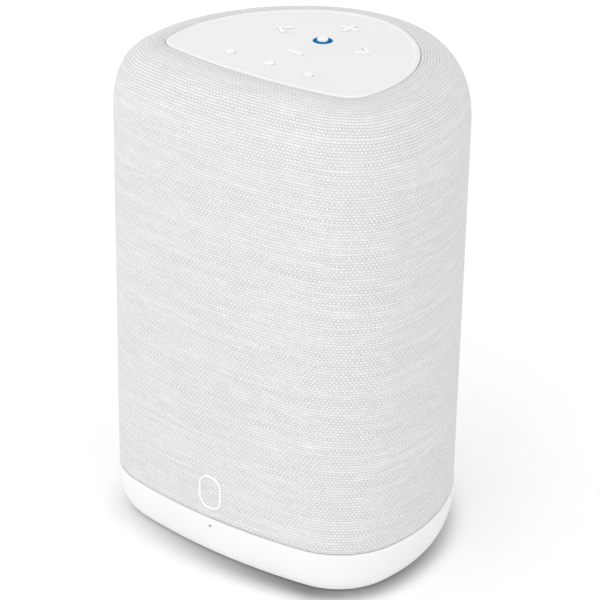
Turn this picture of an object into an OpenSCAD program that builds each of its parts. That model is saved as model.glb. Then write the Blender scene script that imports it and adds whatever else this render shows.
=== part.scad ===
// Compact tabletop smart speaker: fabric-wrapped column on a plastic base, with a
// recessed key panel on top and a socket panel at the back.
// Front faces -Y, the floor is z = 0, and the plan is symmetric about x = 0.

/* [Body] */
// Width of the fabric-covered column
body_w = 124; // [120:1:128]
// Depth of the fabric-covered column
body_d = 110; // [108:1:113]
// Height from the floor to the rim of the key panel
body_h = 183; // [180:1:190]
// Plan radius of the gently curved front
front_r = 214; // [190:1:240]
// Plan radius of the two front corners
corner_r = 28.5; // [27:0.5:30]
// Plan radius of the two flanks
flank_r = 73; // [71:1:76]
// Plan radius of the rounded back
back_r = 53; // [51:1:54]

/* [Shoulder] */
// How far the fabric shoulder runs in towards the key panel
shoulder_w = 18.4; // [17:0.2:20]
// Height of the fabric shoulder
shoulder_h = 24.8; // [22:0.1:26]
// Exponent of the shoulder curve, where 2 is an ellipse
shoulder_power = 2.4; // [2.2:0.1:3]

/* [Base] */
// Height of the plastic base, up to the fabric seam
base_h = 18; // [17:0.5:20]
// How far the foot of the base is tucked in
base_tuck = 8.8; // [8:0.2:10]
// Exponent of the base curve
base_power = 2.2; // [1.9:0.1:2.4]
// How far the base stands proud of the fabric column
base_proud = 0; // [0:0.1:0.5]

/* [Key panel] */
// Thickness of the key panel
panel_t = 2.4; // [2:0.1:3]
// Height of the panel rim above the fabric
rim_h = 0.3; // [0.1:0.1:0.6]
// Width of the raised rim
rim_w = 2.2; // [1.6:0.1:3]
// Height of the raised key symbols above the panel
symbol_h = 0.6; // [0.4:0.1:1.4]
// Stroke width of the key symbols
symbol_w = 1.3; // [1.1:0.1:1.6]
// Diameter of the lit play key
play_d = 6.8; // [6:0.2:8]

/* [Drivers] */
// Outer diameter of the woofer frame
woofer_d = 102; // [100:1:103]
// Height of the woofer axis
woofer_z = 75; // [74:0.5:76]
// Height of the tweeter axis
tweeter_z = 146; // [145.5:0.5:147]

/* [Rear panel] */
// Half the width of the rear panel
rear_half_w = 25; // [24.6:0.1:25.4]
// Lower edge of the rear panel
rear_z0 = 21; // [20.6:0.1:21.4]
// Upper edge of the rear panel
rear_z1 = 125; // [124:1:130]
// Inner radius of the bracket insert, 1/4-20 thread
insert_r = 2.6; // [2.5:0.05:2.7]
// Inner radius of the 3.5 mm jack sockets
jack_r = 1.8; // [1.78:0.01:1.85]

/* [Hidden] */

eps = 0.01;
wrap_sides = 96;
fine = 64;

// plan outline: four kinds of arc that meet tangentially
corner_x = body_w / 2 - corner_r;
front_cy = front_r - body_d / 2;
corner_cy = front_cy - sqrt(pow(front_r - corner_r, 2) - pow(corner_x, 2));
back_cy = body_d / 2 - back_r;
centre_gap = norm([corner_x, corner_cy - back_cy]);
along = (pow(flank_r - corner_r, 2) - pow(flank_r - back_r, 2) + pow(centre_gap, 2))
    / (2 * centre_gap);
aside = sqrt(pow(flank_r - corner_r, 2) - pow(along, 2));
gap_dir = [-corner_x, back_cy - corner_cy] / centre_gap;
flank_cx = corner_x + along * gap_dir[0] - aside * gap_dir[1];
flank_cy = corner_cy + along * gap_dir[1] + aside * gap_dir[0];
front_turn = atan2(corner_cy - front_cy, corner_x);
flank_turn = atan2(corner_cy - flank_cy, corner_x - flank_cx);
back_turn = atan2(back_cy - flank_cy, -flank_cx);

// centre and radius of the arc whose outward normal points along angle a, -90 to 90
function arc_at(a) =
    a <= front_turn ? [0, front_cy, front_r]
    : a <= flank_turn ? [corner_x, corner_cy, corner_r]
    : a <= back_turn ? [flank_cx, flank_cy, flank_r]
    : [0, back_cy, back_r];

// point of the outline, moved inwards by inset, where the outward normal is a
function outline_point(a, inset) =
    let (side = a > 90 ? -1 : 1,
         b = a > 90 ? 180 - a : a,
         arc = arc_at(b),
         r = arc[2] - inset)
    [side * (arc[0] + r * cos(b)), arc[1] + r * sin(b)];

function ring(inset) =
    [for (i = [0 : wrap_sides - 1]) outline_point(-90 + 360 * i / wrap_sides, inset)];

// heights
seam_gap = 0.3;
shoulder_z = body_h - shoulder_h - rim_h;
panel_z = body_h - panel_t;
field_drop = 0.3;
field_z = body_h - field_drop;
symbol_top = field_z + symbol_h;

// walls
fabric_t = 1.2;
fabric_taper = 0.3;
frame_gap = 0.3;
frame_t = 2.2;
frame_in = fabric_taper + fabric_t + frame_gap;
frame_inner = frame_in + frame_t;
shell_t = 2.6;
enclosure_in = 5.2;
enclosure_t = 3;

// base
foot_z = 0.8;
flange_top = 2.8;
flange_in = 14.5;
plate_top = 5.2;
plate_in = 8.8;
lip_in = 2.8;
lip_t = 3.2;
lip_z = 10;
lip_top = 21;
hem_h = 1.2;
base_boss_in = 11.5;
base_boss_angles = [-48, 228, 55, 125];

// key panel parts
panel_in = shoulder_w + 0.1;
key_clear = 0.15;
key_flange_top = panel_z - 0.3;
key_flange_t = 1;
stem_r = 1.2;
stem_z = 175.9;
guide_z = 176.4;
guide_t = 1.5;
board_z = 172.2;
board_t = 1.6;
panel_part_in = shoulder_w + 5.6;
post_r = 2.6;
post_spots = [[-29, -20], [29, -20], [-22, 19], [22, 19]];
play_spot = [0, 5.7];
plus_spot = [0, 21.2];
minus_spot = [0, -9.9];
back_spot = [-16.6, 6];
next_spot = [16.6, 6];
preset_spots = [[-17, -24], [0, -24], [17, -24]];
key_spots = concat([play_spot, plus_spot, minus_spot, back_spot, next_spot], preset_spots);
play_hub_r = 1.9;
play_hub_h = 0.95;
ring_top = field_z + 0.15;
ring_seat = 0.6;
ring_lip = 0.3;
play_flange_r = 4.8;
preset_r = 1.7;
arm_l = 5.8;
arm_meet = 2.8;
plus_l = 7.3;
minus_l = 6.9;
arm_angle = 38;

// drivers
baffle_y = -36;
enclosure_split_y = -8;
gasket_t = 1;
enclosure_back_y = 16;
enclosure_z0 = 21;
enclosure_z1 = 167;
enclosure_boss_x = 43;
enclosure_boss_zs = [26.8, 161.2];
tweeter_plate_r = 19;
woofer_screw_r = 47.5;
tweeter_screw_r = 16.4;

// rear panel and sockets
skin_in = 0.3;
skin_t = 1.45;
tray_floor = 48;
tray_floor_t = 2;
tray_half_w = 21;
tray_wall = 2;
tray_z0 = 33;
tray_z1 = 79;
insert_z = 100;
insert_outer_y = 54.2;
insert_l = 9;
rear_screw_x = 12;
rear_screw_zs = [26.5, 119];
rear_screw_floor = 51.6;
rear_boss_y = 50.4;
rear_boss_r = 3.9;
socket_board_y = 29.4;
socket_face = 31;
ethernet_spot = [-9.5, 68];
usb_spot = [11, 68];
service_spot = [12, 53];
audio_in_spot = [-13, 53];
headphone_spot = [-1.5, 53];
mains_spot = [0, 40];
rear_wall_y = 17.6;
main_board_y = 20;
main_board_zs = [97, 153];
power_board_zs = [29, 83];

// colours
white_plastic = [0.95, 0.95, 0.95];
fabric_grey = [0.87, 0.87, 0.87];
dark_plastic = [0.13, 0.13, 0.14];
steel = [0.72, 0.73, 0.75];
board_green = [0.1, 0.35, 0.2];
rubber_dark = [0.16, 0.16, 0.16];

// ---- shared shapes ----

// prism with the plan outline, between two heights
module slab(z0, z1, inset)
    translate([0, 0, z0])
        linear_extrude(z1 - z0)
            polygon(ring(inset));

// upright wall with the plan outline
module wall(z0, z1, inset, thick)
    difference() {
        slab(z0, z1, inset);
        slab(z0 - 1, z1 + 1, inset + thick);
    }

// closed band: a section of [z, inset] points carried round the plan outline
module band(section) {
    count = len(section);
    points = [for (s = section, p = ring(s[1])) [p[0], p[1], s[0]]];
    faces = [for (j = [0 : count - 1], i = [0 : wrap_sides - 1])
        let (i2 = (i + 1) % wrap_sides,
             a = j * wrap_sides + i,
             b = j * wrap_sides + i2,
             c = ((j + 1) % count) * wrap_sides + i,
             d = ((j + 1) % count) * wrap_sides + i2)
        each [[a, c, d], [a, d, b]]];
    polyhedron(points, faces);
}

// [z, inset] points up a superellipse shoulder
function shoulder_curve(z, in0, wide, tall, steps) =
    [for (i = [0 : steps])
        let (a = 90 * i / steps)
        [z + tall * pow(sin(a), 2 / shoulder_power),
         in0 + wide * (1 - pow(cos(a), 2 / shoulder_power))]];

function base_inset(z) =
    let (t = min(z / base_h, 1))
    base_tuck * (1 - pow(1 - pow(1 - t, base_power), 1 / base_power)) - base_proud;

// 2D bar with round ends, along X
module bar(l, w) {
    square([l - w, w], center = true);
    for (s = [-1, 1])
        translate([s * (l - w) / 2, 0])
            circle(d = w, $fn = fine);
}

// 2D symbols, each grown by g on every side
module plus_symbol(g = 0) {
    bar(plus_l + 2 * g, symbol_w + 2 * g);
    rotate(90)
        bar(plus_l + 2 * g, symbol_w + 2 * g);
}

module minus_symbol(g = 0)
    bar(minus_l + 2 * g, symbol_w + 2 * g);

module chevron_symbol(g = 0)
    for (s = [-1, 1])
        translate([-arm_meet, 0])
            rotate(s * arm_angle)
                translate([(arm_l - symbol_w) / 2, 0])
                    bar(arm_l + 2 * g, symbol_w + 2 * g);

module preset_symbol(g = 0)
    circle(r = preset_r + g, $fn = fine);

module play_symbol(g = 0)
    circle(d = play_d + 2 * g, $fn = fine);

// a key: symbol above, flange below the panel, stem over the switch
module key_at(spot, flange_r, top = symbol_top)
    translate([spot[0], spot[1], 0]) {
        translate([0, 0, key_flange_top - eps])
            linear_extrude(top - key_flange_top + eps)
                children();
        translate([0, 0, key_flange_top - key_flange_t])
            cylinder(h = key_flange_t, r = flange_r, $fn = fine);
        translate([0, 0, stem_z])
            cylinder(h = key_flange_top - stem_z - eps, r = stem_r, $fn = fine);
    }

// straight hole or rod along Y
module along_y(spot, y0, y1, r)
    translate([spot[0], y0, spot[1]])
        rotate([-90, 0, 0])
            cylinder(h = y1 - y0, r = r, $fn = fine);

// box centred on spot in x and z, between two depths
module block_y(spot, y0, y1, w, h)
    translate([spot[0] - w / 2, y0, spot[1] - h / 2])
        cube([w, y1 - y0, h]);

// rounded rectangle in x and z, carried along Y
module window_y(x0, x1, z0, z1, y0, y1, r)
    translate([0, y1, 0])
        rotate([90, 0, 0])
            linear_extrude(y1 - y0) {
                translate([x0 + r, z0])
                    square([x1 - x0 - 2 * r, z1 - z0]);
                translate([x0, z0 + r])
                    square([x1 - x0, z1 - z0 - 2 * r]);
                for (x = [x0 + r, x1 - r], z = [z0 + r, z1 - r])
                    translate([x, z])
                        circle(r = r, $fn = fine);
            }

// a driver's own frame: +Z leaves the baffle towards the listener
module driver_at(z)
    translate([0, baffle_y, z])
        rotate([90, 0, 0])
            children();

module pan_screw(head_r, head_h, shank_r, shank_l) {
    cylinder(h = head_h, r = head_r, $fn = fine);
    translate([0, 0, -shank_l])
        cylinder(h = shank_l + eps, r = shank_r, $fn = fine);
}

// ---- base ----

module base_shell() {
    steps = 9;
    outside = [for (i = [0 : steps])
        let (z = foot_z + (base_h - 1 - foot_z) * pow(i / steps, 1.4)) [z, base_inset(z)]];
    inside = [[base_h, 0.4], [base_h, shell_t], [9.6, shell_t], [6, 4.4],
        [flange_top, 8.6], [flange_top, flange_in], [foot_z, flange_in]];
    pinhole_r = 0.6;
    color(white_plastic)
        difference() {
            band(concat(outside, inside));
            along_y([0, base_h - 3], -body_d / 2 - 2, -body_d / 2 + shell_t + 1, pinhole_r);
            for (a = base_boss_angles) {
                p = outline_point(a, base_boss_in);
                translate([p[0], p[1], 0])
                    cylinder(h = 2, r = 2.9, $fn = fine);
                translate([p[0], p[1], 1])
                    cylinder(h = 3, r = 1.6, $fn = fine);
            }
        }
}

module base_plate()
    color(dark_plastic)
        difference() {
            slab(flange_top, plate_top, plate_in);
            for (a = base_boss_angles) {
                p = outline_point(a, base_boss_in);
                translate([p[0], p[1], 1])
                    cylinder(h = 6, r = 1.6, $fn = fine);
            }
        }

module rubber_foot_pad()
    color(rubber_dark) {
        slab(0, 1.4, flange_in + 2.2);
        slab(1.4 - eps, flange_top, flange_in + 0.3);
    }

module base_screws()
    color(steel)
        for (a = base_boss_angles) {
            p = outline_point(a, base_boss_in);
            translate([p[0], p[1], 2])
                mirror([0, 0, 1])
                    pan_screw(2.6, 1, 1.45, 12);
        }

module microphone()
    color(dark_plastic) {
        along_y([0, base_h - 3], -body_d / 2 + shell_t + 0.1, -48.4, 1.9);
        block_y([0, base_h - 3.4], -48.5, -46, 7, 6);
    }

// ---- column ----

module grille_frame() {
    slot_w = 3.2;
    slot_h = 9;
    color(dark_plastic)
        difference() {
            union() {
                wall(base_h + seam_gap + hem_h + 0.1, shoulder_z, frame_in, frame_t);
                wall(lip_z, lip_top, lip_in, lip_t);
                for (a = base_boss_angles) {
                    p = outline_point(a, base_boss_in);
                    translate([p[0], p[1], plate_top])
                        cylinder(h = lip_top - plate_top, r = 3.6, $fn = fine);
                    translate([p[0], p[1], lip_z])
                        rotate(a)
                            translate([0, -1.5, 0])
                                cube([base_boss_in - lip_in - 1, 3, lip_top - lip_z]);
                }
                for (x = [-rear_screw_x, rear_screw_x], z = rear_screw_zs)
                    along_y([x, z], 42, rear_boss_y - 0.2, 3.2);
            }
            for (a = base_boss_angles) {
                p = outline_point(a, base_boss_in);
                translate([p[0], p[1], 1])
                    cylinder(h = 14.5, r = 1.5, $fn = fine);
            }
            for (i = [-4 : 4], j = [0 : 8])
                translate([i * 9 - slot_w / 2, -body_d / 2 - 1, 30 + j * 13.5])
                    cube([slot_w, 34, slot_h]);
            window_y(-5, 5, 11, 17.6, -body_d / 2, -47, 1);
            window_y(-tray_half_w - tray_wall - 0.3, tray_half_w + tray_wall + 0.3,
                tray_z0 - tray_wall - 0.3, tray_z1 + tray_wall + 0.3, 30, 60, 4);
            along_y([0, insert_z], 30, 60, 7);
            for (x = [-rear_screw_x, rear_screw_x], z = rear_screw_zs) {
                along_y([x, z], 41, 60, 1.25);
                along_y([x, z], rear_boss_y - 0.2, 60, rear_boss_r + 0.3);
            }
        }
}

module shoulder_frame() {
    outer = shoulder_curve(shoulder_z + 0.1, frame_in, shoulder_w - frame_in,
        panel_z - shoulder_z - 0.1, 7);
    inner = shoulder_curve(shoulder_z + 0.1, frame_inner, shoulder_w - frame_inner,
        panel_z - shoulder_z - 2.3, 7);
    ledge_in = shoulder_w + 2;
    color(dark_plastic)
        band(concat(
            outer,
            [[outer[7][0], ledge_in], [inner[7][0], ledge_in]],
            [for (i = [7 : -1 : 0]) inner[i]]));
}

module fabric_sleeve() {
    seam = base_h + seam_gap;
    cloth_in = frame_in - frame_gap;
    hem_in = lip_in - 0.2;
    hem = [[seam, 2], [seam + 0.5, 1.1], [seam + 2, 0.65], [seam + 5, fabric_taper]];
    outer = shoulder_curve(shoulder_z, 0, shoulder_w - 0.1, shoulder_h, 12);
    inner = shoulder_curve(shoulder_z, cloth_in, shoulder_w - frame_in + 0.05,
        shoulder_h - fabric_t, 7);
    color(fabric_grey)
        difference() {
            band(concat(
                hem, outer,
                [for (i = [7 : -1 : 0]) inner[i]],
                [[seam + hem_h, cloth_in], [seam + hem_h, hem_in], [seam + 0.3, hem_in]]));
            window_y(-rear_half_w - 0.2, rear_half_w + 0.2, rear_z0 - 0.2, rear_z1 + 0.2,
                30, 60, 6);
        }
}

module front_badge() {
    badge_w = 10.4;
    badge_h = 13.4;
    badge_z = base_h + 10.8;
    front_y = -body_d / 2 + fabric_taper;
    stroke = 0.9;
    badge_r = 4.6;
    color(white_plastic)
        difference() {
            window_y(-badge_w / 2, badge_w / 2, badge_z - badge_h / 2, badge_z + badge_h / 2,
                front_y - 0.45, front_y + 0.15, badge_r);
            window_y(-badge_w / 2 + stroke, badge_w / 2 - stroke,
                badge_z - badge_h / 2 + stroke, badge_z + badge_h / 2 - stroke,
                front_y - 2, front_y + 1, badge_r - stroke);
        }
}

// ---- key panel ----

module top_panel()
    color(white_plastic)
        difference() {
            union() {
                slab(panel_z, field_z, panel_in);
                wall(panel_z, body_h, panel_in, rim_w);
                wall(panel_z - 3.6, panel_z + eps, panel_in + 2.4, 2);
                for (p = post_spots)
                    translate([p[0], p[1], board_z + board_t])
                        cylinder(h = panel_z - board_z - board_t + eps, r = post_r, $fn = fine);
            }
            for (p = post_spots)
                translate([p[0], p[1], board_z])
                    cylinder(h = 7, r = 1.05, $fn = fine);
            translate([0, 0, panel_z - 1])
                linear_extrude(panel_t + 2) {
                    translate(play_spot)
                        play_symbol(key_clear);
                    translate(plus_spot)
                        plus_symbol(key_clear);
                    translate(minus_spot)
                        minus_symbol(key_clear);
                    translate(back_spot)
                        chevron_symbol(key_clear);
                    translate(next_spot)
                        mirror([1, 0])
                            chevron_symbol(key_clear);
                    for (p = preset_spots)
                        translate(p)
                            preset_symbol(key_clear);
                }
        }

module play_key()
    color(white_plastic)
        difference() {
            key_at(play_spot, play_flange_r, field_z + play_hub_h)
                circle(r = play_hub_r, $fn = fine);
            translate([play_spot[0], play_spot[1], key_flange_top - ring_seat])
                difference() {
                    cylinder(h = 1, d = play_d - 2 * ring_lip, $fn = fine);
                    translate([0, 0, -1])
                        cylinder(h = 3, r = play_hub_r, $fn = fine);
                }
        }

module light_ring()
    color([0.03, 0.42, 0.65])
        translate([play_spot[0], play_spot[1], key_flange_top - ring_seat])
            difference() {
                union() {
                    cylinder(h = ring_top - key_flange_top + ring_seat,
                        d = play_d - 2 * ring_lip, $fn = fine);
                    translate([0, 0, ring_seat + 0.1])
                        cylinder(h = ring_top - key_flange_top - 0.1, d = play_d, $fn = fine);
                }
                translate([0, 0, -1])
                    cylinder(h = 6, r = play_hub_r, $fn = fine);
            }

module plus_key()
    color(white_plastic)
        key_at(plus_spot, 5)
            plus_symbol();

module minus_key()
    color(white_plastic)
        key_at(minus_spot, 4.8)
            minus_symbol();

module back_key()
    color(white_plastic)
        key_at(back_spot, 5)
            chevron_symbol();

module next_key()
    color(white_plastic)
        key_at(next_spot, 5)
            mirror([1, 0])
                chevron_symbol();

module preset_key(i)
    color(white_plastic)
        key_at(preset_spots[i], 3.2)
            preset_symbol();

module key_guide()
    color(dark_plastic)
        difference() {
            slab(guide_z, guide_z + guide_t, panel_part_in);
            for (p = key_spots)
                translate([p[0], p[1], guide_z - 1])
                    cylinder(h = 4, r = stem_r + key_clear, $fn = fine);
            for (p = post_spots)
                translate([p[0], p[1], guide_z - 1])
                    cylinder(h = 4, r = post_r + 0.1, $fn = fine);
        }

module key_board()
    color(board_green)
        difference() {
            slab(board_z, board_z + board_t, panel_part_in);
            for (p = post_spots)
                translate([p[0], p[1], board_z - 1])
                    cylinder(h = 4, r = 1.2, $fn = fine);
        }

module key_switches()
    color([0.2, 0.2, 0.22])
        for (p = key_spots)
            translate([p[0], p[1], board_z + board_t]) {
                translate([-1.75, -1.75, 0])
                    cube([3.5, 3.5, 1]);
                cylinder(h = 1.5, r = 0.9, $fn = fine);
            }

module ring_leds()
    color([0.9, 0.9, 0.75])
        for (a = [45 : 90 : 315])
            translate([play_spot[0], play_spot[1], board_z + board_t])
                rotate(a)
                    translate([3.2, -0.8, 0])
                        cube([1.6, 1.6, 0.8]);

module key_board_screws()
    color(steel)
        for (p = post_spots)
            translate([p[0], p[1], board_z])
                mirror([0, 0, 1])
                    pan_screw(2, 1.2, 1, 6);

module key_flex_cable() {
    flex_z = 154.5;
    board_face_y = main_board_y + board_t;
    color([0.75, 0.45, 0.12]) {
        translate([-6, 22, board_z - 0.35])
            cube([12, 3, 0.3]);
        translate([-6, 24.7, flex_z])
            cube([12, 0.3, board_z - flex_z]);
        translate([-6, board_face_y, flex_z])
            cube([12, 3.2, 0.3]);
    }
}

// ---- enclosure ----

module enclosure_room(y0, y1, inset, z0, z1)
    intersection() {
        slab(z0, z1, inset);
        translate([-body_w / 2, y0, 0])
            cube([body_w, y1 - y0, body_h]);
    }

module enclosure_bosses(y0, y1)
    for (x = [-enclosure_boss_x, enclosure_boss_x], z = enclosure_boss_zs)
        along_y([x, z], y0, y1, 3.6);

module enclosure_front()
    color(dark_plastic)
        difference() {
            union() {
                difference() {
                    enclosure_room(baffle_y, enclosure_split_y, enclosure_in,
                        enclosure_z0, enclosure_z1);
                    enclosure_room(baffle_y + enclosure_t, enclosure_split_y + 1,
                        enclosure_in + enclosure_t, enclosure_z0 + enclosure_t,
                        enclosure_z1 - enclosure_t);
                }
                enclosure_bosses(enclosure_split_y - 16, enclosure_split_y);
            }
            along_y([0, woofer_z], baffle_y - 1, baffle_y + enclosure_t + 1, 41.5);
            along_y([0, tweeter_z], baffle_y - 1, baffle_y + enclosure_t + 1, 14.4);
            for (x = [-enclosure_boss_x, enclosure_boss_x], z = enclosure_boss_zs)
                along_y([x, z], enclosure_split_y - 12, enclosure_split_y + 1, 1.25);
            for (a = [45 : 90 : 315])
                along_y([woofer_screw_r * cos(a), woofer_z + woofer_screw_r * sin(a)],
                    baffle_y - 1, baffle_y + enclosure_t + 1, 1.3);
            for (a = [90, 210, 330])
                along_y([tweeter_screw_r * cos(a), tweeter_z + tweeter_screw_r * sin(a)],
                    baffle_y - 1, baffle_y + enclosure_t + 1, 1.3);
        }

module enclosure_rear()
    color(dark_plastic)
        difference() {
            union() {
                difference() {
                    enclosure_room(enclosure_split_y + gasket_t, enclosure_back_y,
                        enclosure_in, enclosure_z0, enclosure_z1);
                    enclosure_room(enclosure_split_y, enclosure_back_y - enclosure_t,
                        enclosure_in + enclosure_t, enclosure_z0 + enclosure_t,
                        enclosure_z1 - enclosure_t);
                }
                enclosure_bosses(enclosure_split_y + gasket_t, enclosure_back_y);
                for (x = [-28, 28], z = main_board_zs)
                    along_y([x, z], enclosure_back_y - 1, main_board_y, 2.2);
                for (x = [-33, 33], z = power_board_zs)
                    along_y([x, z], enclosure_back_y - 1, rear_wall_y, 2.2);
            }
            for (x = [-enclosure_boss_x, enclosure_boss_x], z = enclosure_boss_zs)
                along_y([x, z], enclosure_split_y - 1, enclosure_back_y + 1, 1.6);
            for (x = [-3, 3])
                along_y([x, woofer_z + 30], enclosure_back_y - 4, enclosure_back_y + 1, 0.9);
        }

module enclosure_gasket()
    color(rubber_dark)
        difference() {
            enclosure_room(enclosure_split_y, enclosure_split_y + gasket_t,
                enclosure_in, enclosure_z0, enclosure_z1);
            enclosure_room(enclosure_split_y - 1, enclosure_split_y + gasket_t + 1,
                enclosure_in + enclosure_t, enclosure_z0 + enclosure_t,
                enclosure_z1 - enclosure_t);
        }

module enclosure_screws()
    color(steel)
        for (x = [-enclosure_boss_x, enclosure_boss_x], z = enclosure_boss_zs)
            translate([x, enclosure_back_y, z])
                rotate([-90, 0, 0])
                    pan_screw(2.6, 1.5, 1.2, 34);

// ---- woofer ----

module woofer_basket()
    color([0.2, 0.2, 0.21])
        driver_at(woofer_z)
            difference() {
                rotate_extrude($fn = fine)
                    polygon([[woofer_d / 2, 3], [39, 3], [39, -3], [27.4, -22.5], [27.4, -24],
                        [14.5, -24], [14.5, -26], [29, -26], [29, -23], [41, -4], [41, 0.8],
                        [woofer_d / 2, 0.8]]);
                for (a = [0 : 60 : 300])
                    rotate(a)
                        translate([25, -8, -19])
                            cube([25, 16, 13]);
                for (a = [45 : 90 : 315])
                    translate([woofer_screw_r * cos(a), woofer_screw_r * sin(a), 0])
                        cylinder(h = 5, r = 1.7, $fn = fine);
            }

module woofer_gasket()
    color(rubber_dark)
        driver_at(woofer_z)
            difference() {
                cylinder(h = 0.8, r = woofer_d / 2, $fn = fine);
                translate([0, 0, -1])
                    cylinder(h = 3, r = 41.5, $fn = fine);
                for (a = [45 : 90 : 315])
                    translate([woofer_screw_r * cos(a), woofer_screw_r * sin(a), -1])
                        cylinder(h = 3, r = 1.7, $fn = fine);
            }

// half-roll ring: flat inner edge, raised roll, flat outer edge
module half_roll(r_in, r_mid, r_out, z, thick) {
    roll_r = (r_out - r_mid) / 2;
    rotate_extrude($fn = fine)
        translate([0, z]) {
            translate([r_in, 0])
                square([r_mid - r_in + eps, thick]);
            translate([r_out - eps, 0])
                square([1.6, thick]);
            translate([(r_mid + r_out) / 2, 0])
                intersection() {
                    difference() {
                        circle(r = roll_r + thick, $fn = fine);
                        circle(r = roll_r, $fn = fine);
                    }
                    translate([-roll_r - 1, 0])
                        square([2 * roll_r + 2, roll_r + 1]);
                }
        }
}

module woofer_surround()
    color(rubber_dark)
        driver_at(woofer_z)
            half_roll(31.4, 33.4, 38.2, 3.05, 0.5);

module woofer_spider()
    color([0.8, 0.7, 0.4])
        driver_at(woofer_z)
            rotate_extrude($fn = fine)
                polygon([[13.3, -21], [17, -20.4], [20, -21.6], [23, -20.4], [26.6, -21.4],
                    [26.6, -22], [23, -21], [20, -22.2], [17, -21], [13.3, -21.6]]);

module woofer_cone()
    color([0.25, 0.25, 0.26])
        driver_at(woofer_z)
            rotate_extrude($fn = fine)
                polygon([[33, 3], [31.2, 3], [13.1, -13.4], [13.1, -14.4], [33, 2.2]]);

module woofer_dust_cap()
    color([0.18, 0.18, 0.19])
        driver_at(woofer_z)
            translate([0, 0, -24.2])
                rotate_extrude($fn = fine)
                    intersection() {
                        difference() {
                            circle(r = 18.4, $fn = fine);
                            circle(r = 17.8, $fn = fine);
                        }
                        translate([0, 12.6])
                            square([13.5, 8]);
                    }

module woofer_voice_coil()
    color([0.75, 0.42, 0.2])
        driver_at(woofer_z)
            rotate_extrude($fn = fine)
                polygon([[12.6, -13.9], [13.05, -13.9], [13.05, -25.5], [13.5, -25.5],
                    [13.5, -33], [13.05, -33], [13.05, -34], [12.6, -34]]);

module woofer_top_plate()
    color(steel)
        driver_at(woofer_z)
            rotate_extrude($fn = fine)
                translate([13.9, -29])
                    square([13.1, 3]);

module woofer_magnet()
    color([0.3, 0.3, 0.32])
        driver_at(woofer_z)
            rotate_extrude($fn = fine)
                translate([15.6, -38])
                    square([13.4, 9]);

module woofer_yoke()
    color(steel)
        driver_at(woofer_z)
            rotate_extrude($fn = fine)
                polygon([[0, -42], [27, -42], [27, -38], [12.2, -38], [12.2, -26], [0, -26]]);

// ---- tweeter ----

module tweeter_plate()
    color([0.15, 0.15, 0.16])
        driver_at(tweeter_z)
            difference() {
                cylinder(h = 2, r = tweeter_plate_r, $fn = fine);
                translate([0, 0, -1])
                    cylinder(h = 4, r = 12.2, $fn = fine);
                for (a = [90, 210, 330])
                    translate([tweeter_screw_r * cos(a), tweeter_screw_r * sin(a), -1])
                        cylinder(h = 4, r = 1.7, $fn = fine);
            }

module tweeter_surround()
    color(rubber_dark)
        driver_at(tweeter_z)
            rotate_extrude($fn = fine)
                translate([9.6, 0.05])
                    square([2.5, 0.4]);

module tweeter_dome()
    color([0.78, 0.78, 0.8])
        driver_at(tweeter_z)
            rotate_extrude($fn = fine) {
                translate([0, -10.6])
                    intersection() {
                        difference() {
                            circle(r = 14.2, $fn = fine);
                            circle(r = 13.8, $fn = fine);
                        }
                        translate([0, 10.3])
                            square([9.3, 5]);
                    }
                translate([8.95, -5])
                    square([0.4, 5.1]);
            }

module tweeter_motor()
    color([0.3, 0.3, 0.32])
        driver_at(tweeter_z)
            rotate_extrude($fn = fine)
                polygon([[0, -16], [14, -16], [14, 0], [9.8, 0], [9.8, -7], [8.5, -7],
                    [8.5, -1], [0, -1]]);

module driver_screws()
    color(steel) {
        driver_at(woofer_z)
            for (a = [45 : 90 : 315])
                translate([woofer_screw_r * cos(a), woofer_screw_r * sin(a), 3])
                    pan_screw(2.6, 1.4, 1.25, 8);
        driver_at(tweeter_z)
            for (a = [90, 210, 330])
                translate([tweeter_screw_r * cos(a), tweeter_screw_r * sin(a), 2])
                    pan_screw(2.4, 1.2, 1.25, 7);
    }

module speaker_leads()
    color([0.6, 0.1, 0.1])
        for (x = [-3, 3])
            along_y([x, woofer_z + 30], enclosure_back_y - 6, 19.9, 0.8);

// ---- electronics ----

module main_board()
    color(board_green) {
        translate([-32, main_board_y, 92])
            cube([64, board_t, 66]);
        block_y([-16, 104], 21.6, 23.4, 14, 14);
        block_y([6, 103], 21.6, 22.8, 12, 10);
        for (i = [0 : 3])
            block_y([-27 + i * 5, 120], 21.6, 24.6, 3.4, 3.4);
    }

module wireless_module()
    color(steel)
        block_y([18, 144], 21.6, 24.6, 24, 20);

module heat_sink()
    color([0.55, 0.56, 0.58]) {
        block_y([-12, 140], 21.6, 23.6, 30, 26);
        for (i = [0 : 6])
            block_y([-25.5 + i * 4.5, 140], 23.6 - eps, 29, 1.2, 26);
    }

module power_board()
    color(board_green) {
        translate([-37, rear_wall_y, 24])
            cube([74, 1.6, 64]);
        along_y([29, 76], rear_wall_y + 1.6 - eps, 33, 5);
        along_y([29, 62], rear_wall_y + 1.6 - eps, 33, 5);
        block_y([-30, 74], rear_wall_y + 1.6 - eps, 29, 8, 12);
    }

module power_transformer()
    color([0.85, 0.75, 0.2]) {
        block_y([-29, 46], rear_wall_y + 1.6, 31.5, 12, 20);
        block_y([-29, 46], rear_wall_y + 1.6, 29.5, 14, 24);
    }

module socket_board()
    color(board_green) {
        translate([-20, socket_board_y, 33])
            cube([40, 1.6, 45]);
        block_y([0, 70], rear_wall_y + 1.6, socket_board_y + eps, 20, 5);
    }

// ---- rear panel and sockets ----

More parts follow.
